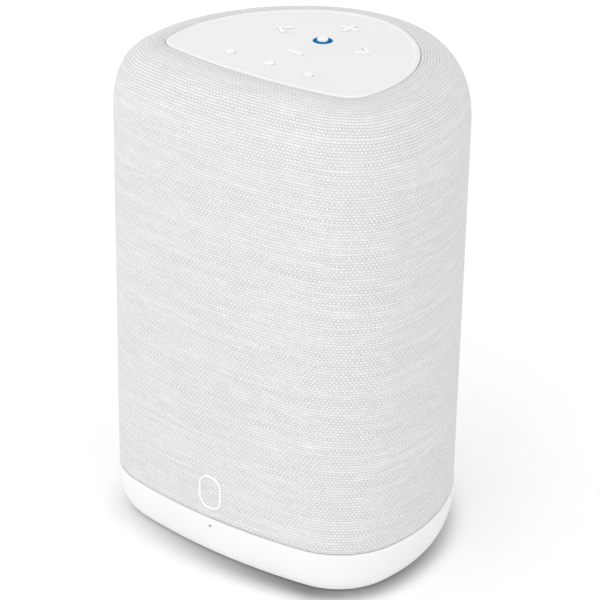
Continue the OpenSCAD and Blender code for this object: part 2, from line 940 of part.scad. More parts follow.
module rear_panel()
    color(white_plastic)
        difference() {
            union() {
                intersection() {
                    wall(rear_z0 - 1, rear_z1 + 1, skin_in, skin_t);
                    window_y(-rear_half_w, rear_half_w, rear_z0, rear_z1, 30, 60, 6);
                }
                intersection() {
                    slab(rear_z0, rear_z1, skin_in);
                    union() {
                        window_y(-tray_half_w - tray_wall, tray_half_w + tray_wall,
                            tray_z0 - tray_wall, tray_z1 + tray_wall,
                            tray_floor - tray_floor_t, 60, 4);
                        along_y([0, insert_z], insert_outer_y - insert_l, 60, 6.6);
                        for (x = [-rear_screw_x, rear_screw_x], z = rear_screw_zs)
                            along_y([x, z], rear_boss_y, 60, rear_boss_r);
                    }
                }
            }
            window_y(-tray_half_w, tray_half_w, tray_z0, tray_z1, tray_floor, 60, 3);
            along_y([0, insert_z], insert_outer_y, 60, 6.2);
            along_y([0, insert_z], insert_outer_y - insert_l - 1, 60, 4);
            for (x = [-rear_screw_x, rear_screw_x], z = rear_screw_zs) {
                along_y([x, z], rear_screw_floor, 60, 2.9);
                along_y([x, z], 45, 60, 1.6);
            }
            block_y(ethernet_spot, 44, 60, 16.3, 13.8);
            block_y(usb_spot, 44, 60, 13.7, 6.3);
            block_y(service_spot, 44, 60, 8.1, 3.5);
            for (p = [audio_in_spot, headphone_spot])
                along_y(p, 44, 60, 3.6);
            window_y(mains_spot[0] - 10.9, mains_spot[0] + 10.9, mains_spot[1] - 5.7,
                mains_spot[1] + 5.7, 44, 60, 5);
        }

module rear_panel_screws()
    color(steel)
        for (x = [-rear_screw_x, rear_screw_x], z = rear_screw_zs)
            translate([x, rear_screw_floor, z])
                rotate([-90, 0, 0])
                    pan_screw(2.7, 1, 1.2, 9);

module bracket_insert()
    color([0.78, 0.62, 0.3])
        difference() {
            along_y([0, insert_z], insert_outer_y - insert_l, insert_outer_y, 4);
            along_y([0, insert_z], insert_outer_y - insert_l - 1, insert_outer_y + 1, insert_r);
        }

module ethernet_jack()
    color(steel)
        difference() {
            block_y(ethernet_spot, socket_face, tray_floor, 16, 13.5);
            block_y([ethernet_spot[0], ethernet_spot[1] + 0.8], 35.5, 60, 11.8, 7.6);
            block_y([ethernet_spot[0], ethernet_spot[1] - 3.9], 35.5, 60, 6, 2.4);
            block_y([ethernet_spot[0], ethernet_spot[1] - 5], 35.5, 60, 3.2, 2);
        }

module usb_a_socket()
    color(steel)
        difference() {
            block_y(usb_spot, socket_face, tray_floor, 13.4, 6);
            difference() {
                block_y(usb_spot, 36, 60, 12.6, 5.2);
                block_y([usb_spot[0], usb_spot[1] + 1.1], 30, 47, 11.2, 1.9);
            }
        }

module service_usb_socket()
    color(steel)
        difference() {
            block_y(service_spot, socket_face, tray_floor, 7.8, 3.2);
            difference() {
                block_y(service_spot, 43, 60, 7, 2.4);
                block_y([service_spot[0], service_spot[1] + 0.5], 40, 47, 5, 0.6);
            }
        }

module jack_socket(spot)
    color(dark_plastic)
        difference() {
            union() {
                block_y(spot, socket_face, tray_floor - tray_floor_t, 9.6, 10);
                along_y(spot, tray_floor - tray_floor_t - eps, tray_floor + 0.5, 3.4);
            }
            along_y(spot, 34, 60, jack_r);
        }

module audio_in_jack()
    jack_socket(audio_in_spot);

module headphone_jack()
    jack_socket(headphone_spot);

module mains_inlet() {
    lobe = 4.9;
    color(dark_plastic)
        difference() {
            union() {
                window_y(mains_spot[0] - 10.7, mains_spot[0] + 10.7, mains_spot[1] - 5.5,
                    mains_spot[1] + 5.5, socket_face, tray_floor, 5);
                block_y(mains_spot, socket_face, tray_floor - tray_floor_t, 25, 12.6);
            }
            difference() {
                window_y(mains_spot[0] - lobe - 4.4, mains_spot[0] + lobe + 4.4,
                    mains_spot[1] - 4.4, mains_spot[1] + 4.4, 35, 60, 4.3);
                for (s = [-1, 1])
                    along_y([mains_spot[0] + s * 4.3, mains_spot[1]], 34, 45.5, 1.2);
            }
        }
}

base_shell();
base_plate();
rubber_foot_pad();
base_screws();
grille_frame();
shoulder_frame();
fabric_sleeve();
front_badge();
microphone();
top_panel();
play_key();
light_ring();
plus_key();
minus_key();
back_key();
next_key();
preset_key(0);  // preset_key_1
preset_key(1);  // preset_key_2
preset_key(2);  // preset_key_3
key_guide();
key_board();
key_switches();
ring_leds();
key_board_screws();
key_flex_cable();
enclosure_front();
enclosure_rear();
enclosure_gasket();
enclosure_screws();
woofer_basket();
woofer_gasket();
woofer_surround();
woofer_spider();
woofer_cone();
woofer_dust_cap();
woofer_voice_coil();
woofer_top_plate();
woofer_magnet();
woofer_yoke();
tweeter_plate();
tweeter_surround();
tweeter_dome();
tweeter_motor();
driver_screws();
speaker_leads();
main_board();
wireless_module();
heat_sink();
power_board();
power_transformer();
socket_board();
rear_panel();
rear_panel_screws();
bracket_insert();
ethernet_jack();
usb_a_socket();
service_usb_socket();
audio_in_jack();
headphone_jack();
mains_inlet();
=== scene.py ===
# Smart speaker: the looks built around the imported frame. Metres, +Z up, front faces -Y.
import math

import bmesh
import bpy
import numpy as np
from mathutils import Matrix, Vector


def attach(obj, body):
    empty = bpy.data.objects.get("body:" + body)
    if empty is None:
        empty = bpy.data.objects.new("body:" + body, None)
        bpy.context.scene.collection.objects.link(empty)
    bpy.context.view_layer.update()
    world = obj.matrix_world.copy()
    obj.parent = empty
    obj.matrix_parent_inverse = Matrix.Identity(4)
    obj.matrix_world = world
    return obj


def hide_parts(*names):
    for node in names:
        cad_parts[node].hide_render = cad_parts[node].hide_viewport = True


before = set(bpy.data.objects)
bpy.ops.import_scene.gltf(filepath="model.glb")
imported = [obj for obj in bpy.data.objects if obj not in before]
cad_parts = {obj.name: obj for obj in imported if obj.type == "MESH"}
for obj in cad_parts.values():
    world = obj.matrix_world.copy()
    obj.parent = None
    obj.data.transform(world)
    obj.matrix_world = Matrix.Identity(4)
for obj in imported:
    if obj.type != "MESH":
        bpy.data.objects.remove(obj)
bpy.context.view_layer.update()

MM = 0.001
ROOT = "cabinet"

# Sizes of the part, in millimetres, as in its source
BODY_W, BODY_D, BODY_H = 124, 110, 183
FRONT_R, CORNER_R, FLANK_R, BACK_R = 214, 28.5, 73, 53
SHOULDER_W, SHOULDER_H, SHOULDER_POWER = 18.3, 24.8, 2.4
RIM_H, PANEL_T, PANEL_IN, FIELD_DROP = 0.3, 2.4, 18.5, 0.3
BASE_H, FOOT_Z, BASE_TUCK, BASE_POWER = 18, 0.8, 8.8, 2.2
SEAM_GAP, HEM_IN, SHELL_T, FLANGE_IN, FLANGE_TOP = 0.3, 0.3, 2.6, 14.5, 2.8
BASE_BOSS_IN, BASE_BOSS_ANGLES, BASE_SCREW_Z = 11.5, (-48, 228, 55, 125), 2
REAR_SCREW_XS, REAR_SCREW_ZS, REAR_SCREW_FLOOR = (-12, 12), (26.5, 119), 51.6
KEY_CLEAR, KEY_FLANGE_T, STEM_R, STEM_Z = 0.15, 1, 1.2, 175.9
SHOULDER_Z = BODY_H - SHOULDER_H - RIM_H
FIELD_Z = BODY_H - FIELD_DROP
PANEL_Z = BODY_H - PANEL_T
KEY_TOP = FIELD_Z + 0.6
KEY_FLANGE_TOP = PANEL_Z - 0.3
COLUMNS = 320  # points of each ring round the cover, the base and the panel


# ---- plan outline: four kinds of arc that meet tangentially ----

def plan_arcs():
    """(centre x, centre y, radius, angle where the arc ends) of the right half, from the front."""
    corner_x = BODY_W / 2 - CORNER_R
    front_y = FRONT_R - BODY_D / 2
    corner_y = front_y - math.sqrt((FRONT_R - CORNER_R) ** 2 - corner_x ** 2)
    back_y = BODY_D / 2 - BACK_R
    gap = math.hypot(corner_x, corner_y - back_y)
    along = ((FLANK_R - CORNER_R) ** 2 - (FLANK_R - BACK_R) ** 2 + gap ** 2) / (2 * gap)
    aside = math.sqrt((FLANK_R - CORNER_R) ** 2 - along ** 2)
    dx, dy = -corner_x / gap, (back_y - corner_y) / gap
    flank_x = corner_x + along * dx - aside * dy
    flank_y = corner_y + along * dy + aside * dx
    return [
        (0, front_y, FRONT_R, math.atan2(corner_y - front_y, corner_x)),
        (corner_x, corner_y, CORNER_R, math.atan2(corner_y - flank_y, corner_x - flank_x)),
        (flank_x, flank_y, FLANK_R, math.atan2(back_y - flank_y, -flank_x)),
        (0, back_y, BACK_R, math.pi / 2),
    ]


ARCS = plan_arcs()


def plan_point(angle, inset=0.0):
    """Point of the outline, moved in by inset, where the outward normal is at this angle."""
    side = 1
    angle = (angle + math.pi / 2) % (2 * math.pi) - math.pi / 2
    if angle > math.pi / 2:
        side, angle = -1, math.pi - angle
    x, y, r, _ = next((a for a in ARCS if angle <= a[3] + 1e-9), ARCS[-1])
    return side * (x + (r - inset) * math.cos(angle)), y + (r - inset) * math.sin(angle)


def plan_columns(count):
    """Normal angles of columns spaced evenly round the outline from the back, and its length."""
    spans, low = [], -math.pi / 2
    for _, _, r, high in ARCS:
        spans.append((low, high, r))
        low = high
    half = sum((b - a) * r for a, b, r in spans)
    angles = []
    for i in range(count):
        s = 2 * half * i / count
        mirrored = s < half
        s = half - s if mirrored else s - half
        for a, b, r in spans:
            if s <= (b - a) * r + 1e-9:
                angle = a + s / r
                break
            s -= (b - a) * r
        angles.append(math.pi - angle if mirrored else angle)
    return angles, 2 * half


# ---- mesh helpers ----

def smooth_to_mesh(bm, mesh, sharp):
    """Writes a bmesh to a mesh, smooth where faces meet at less than sharp degrees."""
    for face in bm.faces:
        face.smooth = True
    for edge in bm.edges:
        edge.smooth = edge.calc_face_angle(0) < math.radians(sharp)
    bm.to_mesh(mesh)
    bm.free()


def new_object(name, bm, body=ROOT, sharp=35):
    """An object from a bmesh in millimetres, riding a body."""
    bmesh.ops.recalc_face_normals(bm, faces=bm.faces)
    bmesh.ops.scale(bm, vec=(MM, MM, MM), verts=bm.verts)
    mesh = bpy.data.meshes.new(name)
    smooth_to_mesh(bm, mesh, sharp)
    obj = bpy.data.objects.new(name, mesh)
    bpy.context.scene.collection.objects.link(obj)
    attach(obj, body)
    return obj


def add_rings(bm, rings, cap_low=False, cap_high=False, closed=False, fan=False):
    """Skins rings that have the same count of points.

    A cap is one polygon, or a fan about the ring's middle.
    """
    rows = [[bm.verts.new(p) for p in ring] for ring in rings]
    count = len(rows[0])
    pairs = list(zip(rows, rows[1:])) + ([(rows[-1], rows[0])] if closed else [])
    for low, high in pairs:
        for i in range(count):
            j = (i + 1) % count
            bm.faces.new((low[i], low[j], high[j], high[i]))
    for wanted, row in ((cap_low, rows[0]), (cap_high, rows[-1])):
        if wanted and fan:
            middle = bm.verts.new(sum((v.co for v in row), Vector()) / count)
            for i in range(count):
                bm.faces.new((row[i], row[(i + 1) % count], middle))
        elif wanted:
            bm.faces.new(row)
    return rows


def plan_rings(profile, columns):
    """Rings round the plan outline for a profile of (height, inset) points."""
    return [[(*plan_point(a, inset), z) for a in columns] for z, inset in profile]


def quarter_turn(steps):
    """Angles from 0 to a right angle, both ends included."""
    return np.linspace(0, math.pi / 2, steps)


def lathe(bm, profile, sides, place, closed=True):
    """Turns a profile of (radius, height) points about Z, then places it.

    A radius of 0 becomes one point.
    """
    rows = []
    for r, z in profile:
        if r < 1e-6:
            rows.append([bm.verts.new((0, 0, z))])
        else:
            rows.append([bm.verts.new((r * math.cos(t), r * math.sin(t), z))
                         for t in np.linspace(0, 2 * math.pi, sides, endpoint=False)])
    pairs = list(zip(rows, rows[1:])) + ([(rows[-1], rows[0])] if closed else [])
    for low, high in pairs:
        if len(low) == 1 and len(high) == 1:
            continue
        for i in range(sides):
            j = (i + 1) % sides
            corners = [low[i % len(low)], low[j % len(low)], high[j % len(high)], high[i % len(high)]]
            bm.faces.new(list(dict.fromkeys(corners)))
    bmesh.ops.transform(bm, matrix=place, verts=[v for row in rows for v in row])


def cut(obj, cutter_bm, inner=None):
    """Takes a cutter, given in millimetres, out of an object for good.

    The new faces take the inner material, if there is one.
    """
    cutter = new_object("cutter", cutter_bm)
    if inner:
        cutter.data.materials.append(inner)
    modifier = obj.modifiers.new("cut", "BOOLEAN")
    modifier.operation, modifier.solver, modifier.object = "DIFFERENCE", "EXACT", cutter
    bpy.context.view_layer.update()
    shaped = bpy.data.meshes.new_from_object(obj.evaluated_get(bpy.context.evaluated_depsgraph_get()))
    obj.modifiers.clear()
    bm = bmesh.new()
    bm.from_mesh(shaped)
    smooth_to_mesh(bm, shaped, 35)
    obj.data = shaped
    bpy.data.objects.remove(cutter)


# ---- node materials ----

class Value:
    """A node output that can be used in sums."""

    def __init__(self, graph, socket):
        self.graph, self.socket = graph, socket

    def do(self, operation, *others):
        return self.graph.math(operation, self, *others)

    def __add__(self, other):
        return self.do("ADD", other)

    def __sub__(self, other):
        return self.do("SUBTRACT", other)

    def __mul__(self, other):
        return self.do("MULTIPLY", other)

    def __truediv__(self, other):
        return self.do("DIVIDE", other)


class Nodes:
    """Shorthand for making the nodes of a tree."""

    def __init__(self, tree):
        self.tree = tree

    def put(self, socket, value):
        if isinstance(value, Value):
            self.tree.links.new(value.socket, socket)
        else:
            socket.default_value = value

    def node(self, kind, inputs, output=0, **settings):
        made = self.tree.nodes.new("ShaderNode" + kind)
        for key, value in settings.items():
            setattr(made, key, value)
        for key, value in inputs.items():
            self.put(made.inputs[key], value)
        return Value(self, made.outputs[output])

    def math(self, operation, *values):
        return self.node("Math", dict(enumerate(values)), operation=operation)

    def place(self):
        return self.node("TexCoord", {}, "Object")

    def split(self, vector):
        parts = self.node("SeparateXYZ", {0: vector})
        return [Value(self, o) for o in parts.socket.node.outputs]

    def join(self, x, y, z=0.0):
        return self.node("CombineXYZ", {0: x, 1: y, 2: z})

    def noise(self, vector, scale, detail=2.0, rough=0.5):
        return self.node("TexNoise", {
            "Vector": vector, "Scale": scale, "Detail": detail, "Roughness": rough})

    def span(self, value, low, high, to_low=0.0, to_high=1.0, smooth=True):
        return self.node("MapRange", {0: value, 1: low, 2: high, 3: to_low, 4: to_high},
                         interpolation_type="SMOOTHSTEP" if smooth else "LINEAR")

    def mix(self, factor, a, b):
        made = self.tree.nodes.new("ShaderNodeMix")
        made.data_type = "RGBA"
        for key, value in ((0, factor), (6, a), (7, b)):
            self.put(made.inputs[key], value)
        return Value(self, made.outputs[2])


class Graph(Nodes):
    """One node material with a Principled shader."""

    def __init__(self, name, roughness=0.5, **uniform):
        self.material = bpy.data.materials.new(name)
        self.material.use_nodes = True
        super().__init__(self.material.node_tree)
        self.shader = self.tree.nodes["Principled BSDF"]
        self.shader.inputs["Roughness"].default_value = roughness
        for socket, value in uniform.items():
            self.shader.inputs[socket.replace("_", " ")].default_value = value

    def bump(self, height, distance):
        self.put(self.shader.inputs["Normal"], self.node(
            "Bump", {"Height": height, "Distance": distance, "Strength": 1.0}))

    def colour(self, value):
        self.put(self.shader.inputs["Base Color"], value)

    def roughness(self, value):
        self.put(self.shader.inputs["Roughness"], value)


def grey(level):
    return (level, level, level, 1)


def grained(name, low, high, roughness, grain=2500.0, depth=0.00002, **uniform):
    """Moulded or cast material: fine grain in the surface, slight drift in colour and gloss."""
    g = Graph(name, **uniform)
    place = g.place()
    drift = g.noise(place, 35.0, 3.0)
    fine = g.noise(place, grain, 3.0, 0.6)
    g.colour(g.mix(g.span(drift, 0.3, 0.7), low, high))
    g.roughness(g.span(g.noise(place, 180.0, 4.0), 0.3, 0.7, roughness - 0.05, roughness + 0.05))
    g.bump(fine, depth)
    return g.material


def knitted_fabric():
    """Plain weave of a streaky melange weft over a pale warp, laid out by the weave map in metres.

    The noise that shifts x and y lets the threads wander, and the slubs are the pale streaks in
    the weft. The colour is darkened as painted shade in the hollows between the threads, and the
    painted shade in the gaps between the rows is deeper near the top of the shoulder.
    """
    g = Graph("knitted_fabric", roughness=0.9,
              Sheen_Weight=0.05, Sheen_Roughness=0.5, Specular_IOR_Level=0.2)
    warp_pitch, weft_pitch = 0.00075, 0.00106
    u, v, _ = g.split(g.node("UVMap", {}, uv_map="weave"))
    x = u / warp_pitch + g.span(g.noise(g.join(u, v), 90.0, 3.0), 0, 1, -0.5, 0.5, False)
    y = v / weft_pitch + g.span(g.noise(g.join(v, u), 90.0, 3.0), 0, 1, -0.4, 0.4, False)
    row, column = y.do("FLOOR"), x.do("FLOOR")
    wave_x, wave_y = (x * math.pi).do("SINE"), (y * math.pi).do("SINE")
    lift = wave_x * wave_y * 0.45
    weft = wave_y.do("ABSOLUTE") * 0.55 + lift
    warp = wave_x.do("ABSOLUTE") * 0.2 - lift + 0.35
    on_top = g.span(lift, -0.05, 0.05)
    slub_a = g.noise(g.join(u * 110.0, row * 7.31), 1.0, 2.0)
    slub_b = g.noise(g.join(u * 16.0, row * 5.17), 1.0, 2.0)
    slub = g.span(slub_a, 0.52, 0.72) * 0.6 + g.span(slub_b, 0.50, 0.66) * 0.5
    strand = g.noise(g.join(u * 900.0, row * 3.7), 1.0, 2.0)
    pale = g.noise(g.join(column * 3.1, v * 60.0), 1.0, 1.0)
    row_tone = g.span(g.noise(g.join(u * 30.0, row * 9.7), 1.0, 2.0), 0.3, 0.7)
    knot = g.span(g.noise(g.join(column * 3.3, row * 2.7), 1.0, 1.0), 0.3, 0.7)
    plain_weft = g.mix(strand * 0.5 + row_tone * 0.5, grey(0.545), grey(0.71))
    weft_colour = g.mix(slub, plain_weft, grey(0.78))
    warp_colour = g.mix(pale * 0.4 + knot * 0.6, grey(0.67), grey(0.78))
    hollow = weft.do("MAXIMUM", warp)
    # Painted shade: the cloth's colour goes towards dark grey in the hollows between the threads and in
    # the gaps between the rows, more so near the top of the shoulder.
    between = g.span(wave_y.do("ABSOLUTE"), 0.0, 0.6, 1.0, 0.0)
    gap_shade_depth = g.span(v, 0.146, 0.164, 0.20, 0.38)
    shade = g.span(hollow, 0.0, 0.7, 0.3, 1.0) * (between * gap_shade_depth * -1.0 + 1.0)
    cloth = g.mix(on_top, warp_colour, weft_colour)
    g.colour(g.mix(shade, grey(0.25), cloth))
    fuzz = g.noise(g.join(u, v), 9000.0, 2.0)
    g.bump(hollow + slub * on_top * 0.25 + fuzz * 0.12, 0.00012)
    g.roughness(g.span(slub, 0, 1, 0.95, 0.85, False))
    return g.material


WHITE_SHELL = grained("white_shell", grey(0.775), grey(0.79), 0.55, grain=3000.0, depth=0.000012,
                      Specular_IOR_Level=0.25)
WHITE_PANEL = grained("white_panel", grey(0.74), grey(0.75), 0.5, grain=5000.0, depth=0.00001)
# The keys are a lighter white than the panel: painted light, standing in for the light that their walls
# catch.
WHITE_KEYS = grained("white_keys", grey(0.80), grey(0.82), 0.42, grain=5000.0, depth=0.000006)
# Dark plastic of the parts made of it, and also painted shade on the walls of the base's pinhole.
DARK_PLASTIC_AND_HOLE_SHADE = grained("dark_plastic", grey(0.02), grey(0.03), 0.5)
FABRIC = knitted_fabric()


# ---- fabric sleeve ----

# half width, lower edge, upper edge and corner radius of the opening for the rear panel
WINDOW = (25.2, 20.8, 125.2, 6.0)
# the back's part of the cover, with the opening in it: beyond this depth, between these heights
REAR_Y, REAR_LOW, REAR_HIGH = 30, 10, 140


def shoulder_point(t):
    """Height and inset of the shoulder's superellipse, at t degrees from the wall."""
    t = math.radians(t)
    return (SHOULDER_Z + SHOULDER_H * math.sin(t) ** (2 / SHOULDER_POWER),
            SHOULDER_W * (1 - math.cos(t) ** (2 / SHOULDER_POWER)))


def sleeve_profile():
    """(height, inset) points from the hem, tucked in at the base, up to the panel's groove."""
    turned = [(0.9, 2.4), (0.1, 2.0), (-0.15, 1.5), (-0.16, 1.1), (-0.08, 0.8),
              (0.12, 0.62), (0.45, 0.5), (1.0, 0.42), (2.2, 0.36), (5, HEM_IN)]
    hem = [(BASE_H + SEAM_GAP + rise, inset) for rise, inset in turned]
    wall = [(z, HEM_IN * (1 - (z - hem[-1][0]) / (SHOULDER_Z - hem[-1][0])))
            for z in np.linspace(hem[-1][0], SHOULDER_Z, 68)[1:-1]]
    shoulder = [shoulder_point(t) for t in (0, 2, 4, 6.5, *np.linspace(9, 84, 34))]
    fold = [(0.12, 17.7), (0.22, 18.0), (0.38, 18.22), (0.62, 18.38), (1.2, 18.44)]
    tuck = [(BODY_H - RIM_H - drop, inset) for drop, inset in fold]
    return hem + wall + [p for p in shoulder if p[1] < 17.4] + tuck


def window_distance(x, z):
    """Signed distance from the edge of the rear opening, negative inside it."""
    half, low, high, r = WINDOW
    qx = abs(x) - half + r
    qz = abs(z - (low + high) / 2) - (high - low) / 2 + r
    return math.hypot(max(qx, 0), max(qz, 0)) + min(max(qx, qz), 0) - r


def make_sleeve():
    """The cloth cover, with a weave map in metres whose seam runs up the middle of the back."""
    columns, length = plan_columns(COLUMNS)
    profile = sleeve_profile()
    bm = bmesh.new()
    rows = add_rings(bm, plan_rings(profile, columns))
    weave = bm.loops.layers.uv.new("weave")
    heights = np.concatenate([[0], np.cumsum([math.dist(a, b) for a, b in zip(profile, profile[1:])])])
    where = {v: (i, heights[j]) for j, row in enumerate(rows) for i, v in enumerate(row)}
    step = length / COLUMNS
    for face in bm.faces:
        turn = {where[v][0] for v in face.verts}
        for loop in face.loops:
            i, h = where[loop.vert]
            if i == 0 and COLUMNS - 1 in turn:
                i = COLUMNS
            loop[weave].uv = (i * step * MM, h * MM)

    def inside(face):
        c = face.calc_center_median()
        return c.y > REAR_Y and window_distance(c.x, c.z) < 0

    bmesh.ops.delete(bm, geom=[f for f in bm.faces if inside(f)], context="FACES")
    # Draws the cut's stepped edge out to the opening. This also catches the tucked-in end of the
    # hem at the back, which leaves long thin faces out of sight behind the cloth.
    for vert in bm.verts:
        x, y, z = vert.co
        if vert.is_boundary and y >= REAR_Y and REAR_LOW < z < REAR_HIGH:
            edge = window_distance(x, z)
            probe = 0.01
            slope = Vector((window_distance(x + probe, z) - edge, 0,
                            window_distance(x, z + probe) - edge)) / probe
            vert.co -= slope * edge
    obj = new_object("fabric_cover", bm, sharp=60)
    solid = obj.modifiers.new("thickness", "SOLIDIFY")
    solid.thickness, solid.offset = 0.9 * MM, -1
    obj.data.materials.append(FABRIC)
    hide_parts("fabric_sleeve")
    half, low, high, _ = WINDOW
    opening = 2 * half * (high - low)
    length * MM
    (length * heights[-1] - opening) * MM * MM


# ---- base ----

def base_inset(z):
    """Inset of the base's superellipse at a height."""
    t = min(z / BASE_H, 1)
    return BASE_TUCK * (1 - (1 - (1 - t) ** BASE_POWER) ** (1 / BASE_POWER))


def make_base():
    """The white base: a hollow shell with screw holes in its flange and a pinhole at the front."""
    columns, _ = plan_columns(COLUMNS)
    rows = 26
    outside = [FOOT_Z + (BASE_H - 1 - FOOT_Z) * (i / rows) ** 1.4 for i in range(rows + 1)]
    outside = [(z, base_inset(z)) for z in outside]
    outside[0] = (FOOT_Z + 0.15, outside[0][1] + 0.1)
    lip = [(BASE_H - drop, inset) for drop, inset in ((0.45, 0.02), (0.2, 0.07), (0.07, 0.16), (0, 0.32))]
    inside = [(BASE_H, SHELL_T), (9.6, SHELL_T), (6, 4.4), (FLANGE_TOP, 8.6), (FLANGE_TOP, FLANGE_IN),
              (FOOT_Z, FLANGE_IN), (FOOT_Z, outside[0][1] + 0.3)]
    bm = bmesh.new()
    add_rings(bm, plan_rings(outside + lip + inside, columns), closed=True)
    obj = new_object("base_cover", bm)
    obj.data.materials.append(WHITE_SHELL)
    head_r, shank_r, head_z, top_z = 2.9, 1.6, BASE_SCREW_Z, 4
    holes = bmesh.new()
    for angle in BASE_BOSS_ANGLES:
        x, y = plan_point(math.radians(angle), BASE_BOSS_IN)
        lathe(holes, [(0, 0), (head_r, 0), (head_r, head_z),
                      (shank_r, head_z), (shank_r, top_z), (0, top_z)],
              32, Matrix.Translation((x, y, 0)), closed=False)
    cut(obj, holes)
    pin_r, pin_in, pin_z, start, end = 0.6, 8, BASE_H - 3, 4, 10
    forwards = Matrix.Rotation(math.pi / 2, 4, "X")
    pinhole = bmesh.new()
    lathe(pinhole, [(0, start), (pin_r, start), (pin_r, end), (0, end)], 24,
          Matrix.Translation((0, -BODY_D / 2 + pin_in, pin_z)) @ forwards, closed=False)
    # The pinhole's walls take the dark plastic, as painted shade in the hole.
    cut(obj, pinhole, DARK_PLASTIC_AND_HOLE_SHADE)
    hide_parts("base_shell")


make_sleeve()
make_base()


# ---- key panel ----

def segment_distance(p, a, b):
    """Distance of a point from the segment between two others."""
    p, a, b = Vector(p), Vector(a), Vector(b)
    t = max(0, min(1, (p - a).dot(b - a) / max((b - a).length_squared, 1e-9)))
    return (p - a - (b - a) * t).length


def smooth_low(values, k):
    """Smallest of the values, rounded off by k where two of them are close."""
    low = min(values)
    return low - k * math.log(sum(math.exp((low - v) / k) for v in values))


def symbol_ring(strokes, half, inset, rays=240):
    """Outline of strokes that all meet in the origin, moved in by inset.

    Each of its rays is searched for the edge by halving.
    """
    blend, far = 0.12, 8.0

    def depth(x, y):
        return smooth_low([segment_distance((x, y), a, b) for a, b in strokes], blend) - half + inset

    ring = []
    for i in range(rays):
        c, s = math.cos(2 * math.pi * i / rays), math.sin(2 * math.pi * i / rays)
        low, high = 0.0, far
        for _ in range(26):
            middle = (low + high) / 2
            if depth(middle * c, middle * s) < 0:
                low = middle
            else:
                high = middle
        ring.append((low * c, low * s))
    return ring


STROKE = 0.65
ARM, LEAN = 5.8 - 2 * STROKE, math.radians(38)
ARROW = [((0, 0), (ARM * math.cos(LEAN), s * ARM * math.sin(LEAN))) for s in (-1, 1)]
CROSS = [((0, 0), (3, 0)), ((0, 0), (-3, 0)), ((0, 0), (0, 3)), ((0, 0), (0, -3))]
DASH = [((0, 0), (2.8, 0)), ((0, 0), (-2.8, 0))]
DOT = [((0, 0), (0, 0))]
# node, body, strokes, half width, where they meet, facing, flange radius, spot of the stem
KEYS = [
    ("plus_key", "plus_button", CROSS, STROKE, (0, 21.2), 1, 5.0, (0, 21.2)),
    ("minus_key", "minus_button", DASH, STROKE, (0, -9.9), 1, 4.8, (0, -9.9)),
    ("back_key", "back_button", ARROW, STROKE, (-19.4, 6), 1, 5.0, (-16.6, 6)),
    ("next_key", "next_button", ARROW, STROKE, (19.4, 6), -1, 5.0, (16.6, 6)),
    ("preset_key_1", "preset_button_1", DOT, 1.7, (-17, -24), 1, 3.2, (-17, -24)),
    ("preset_key_2", "preset_button_2", DOT, 1.7, (0, -24), 1, 3.2, (0, -24)),
    ("preset_key_3", "preset_button_3", DOT, 1.7, (17, -24), 1, 3.2, (17, -24)),
]
PLAY = (0, 5.7)
PLAY_HUB_R, PLAY_R, PLAY_FLANGE_R, PLAY_TOP = 1.9, 3.4, 4.8, FIELD_Z + 0.95
FLANGE_LOW = KEY_FLANGE_TOP - KEY_FLANGE_T
STEM = [(0, STEM_Z), (STEM_R - 0.1, STEM_Z), (STEM_R, STEM_Z + 0.1), (STEM_R, FLANGE_LOW)]
GROOVE_R, GROOVE_Z = PLAY_R - 0.3, KEY_FLANGE_TOP - 0.6  # holds the foot of the lit ring


def symbol_rings(strokes, half, at, facing, levels):
    """Rings of a symbol in place, one for each (height, inset)."""
    rings, made = [], {}
    for z, inset in levels:
        key = round(inset, 4)
        if key not in made:
            made[key] = symbol_ring(strokes, half, inset)
        ring = [(at[0] + facing * x, at[1] + y, z) for x, y in made[key]]
        rings.append(ring)
    return rings


def make_key(node, body, strokes, half, at, facing, flange_r, stem):
    """A raised symbol with a rounded edge, over the flange and stem that carry it."""
    edge = 0.25
    levels = [(KEY_FLANGE_TOP - 0.05, 0), (KEY_TOP - edge, 0)]
    levels += [(KEY_TOP - edge + edge * math.sin(t), edge * (1 - math.cos(t)))
               for t in quarter_turn(7)[1:]]
    bm = bmesh.new()
    add_rings(bm, symbol_rings(strokes, half, at, facing, levels), True, True, fan=True)
    lathe(bm, [*STEM, (flange_r - 0.1, FLANGE_LOW), (flange_r, FLANGE_LOW + 0.1),
               (flange_r, KEY_FLANGE_TOP - 0.1), (flange_r - 0.1, KEY_FLANGE_TOP), (0, KEY_FLANGE_TOP)],
          48, Matrix.Translation((*stem, 0)), closed=False)
    obj = new_object(node + "_cap", bm, body)
    obj.data.materials.append(WHITE_KEYS)
    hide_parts(node)


def blue_light():
    """Tinted lens that glows faintly, a little unevenly."""
    g = Graph("blue_light", roughness=0.5, Specular_IOR_Level=0.0)
    place = g.place()
    glow = g.noise(place, 500.0, 2.0)
    g.colour(g.mix(glow, (0.001, 0.115, 0.29, 1), (0.002, 0.14, 0.35, 1)))
    emitted = g.mix(glow, (0.001, 0.10, 0.30, 1), (0.003, 0.13, 0.36, 1))
    g.put(g.shader.inputs["Emission Color"], emitted)
    g.shader.inputs["Emission Strength"].default_value = 0.08
    g.bump(g.noise(place, 6000.0), 0.000005)
    return g.material


def make_play_key():
    """The round hub on its flange."""
    edge = 0.35
    rounded = [(PLAY_HUB_R - edge + edge * math.cos(t), PLAY_TOP - edge + edge * math.sin(t))
               for t in quarter_turn(7)]
    bm = bmesh.new()
    lathe(bm, [*STEM, (PLAY_FLANGE_R - 0.1, FLANGE_LOW), (PLAY_FLANGE_R, FLANGE_LOW + 0.1),
               (PLAY_FLANGE_R, KEY_FLANGE_TOP), (GROOVE_R, KEY_FLANGE_TOP), (GROOVE_R, GROOVE_Z),
               (PLAY_HUB_R, GROOVE_Z), *rounded, (0, PLAY_TOP)],
          96, Matrix.Translation((*PLAY, 0)), closed=False)
    obj = new_object("play_key_cap", bm, "play_button")
    obj.data.materials.append(WHITE_KEYS)
    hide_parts("play_key")


